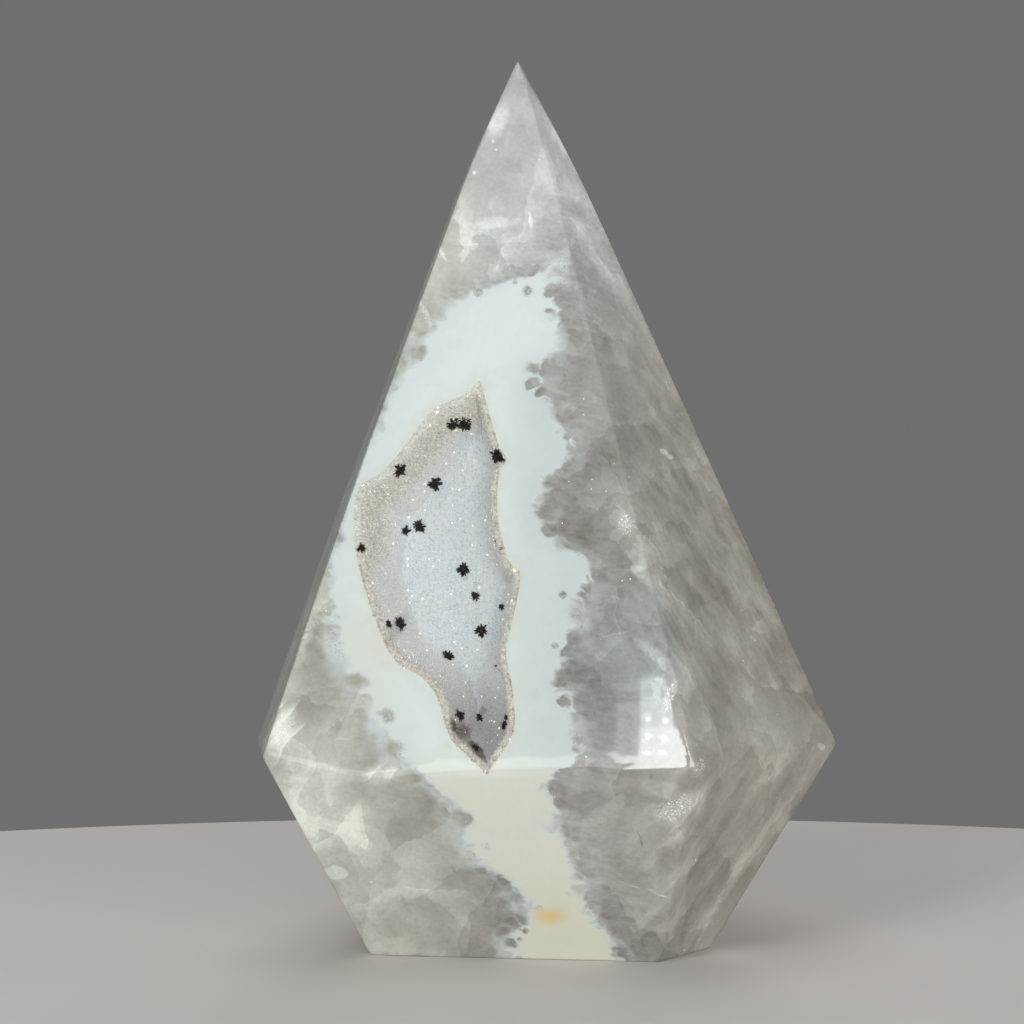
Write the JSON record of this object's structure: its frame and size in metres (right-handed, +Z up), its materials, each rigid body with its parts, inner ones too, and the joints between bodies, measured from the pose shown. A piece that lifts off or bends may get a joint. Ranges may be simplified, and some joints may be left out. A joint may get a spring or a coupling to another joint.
{
  "type": "druzy agate carving",
  "caption": "Free-standing faceted and polished quartz and agate point with an open pocket of small quartz crystals in its front facet.",
  "frame": {"origin": "on the base plane, under the middle of the stone's bounding box", "axes": "+Z up to the point, -Y out of the front with the pocket, +X to the right as the front is looked at"},
  "size_m": [0.0992, 0.0575, 0.15],
  "materials": {
    "polished_agate": "high polish, translucent grey quartz with a white agate band",
    "druzy_quartz": "sparkling crust of small clear and pale blue-grey quartz crystals, tan at the rim"
  },
  "bodies": {
    "root": {"stone": "polished_agate", "druzy_crust": "druzy_quartz"}
  },
  "joints": []
}
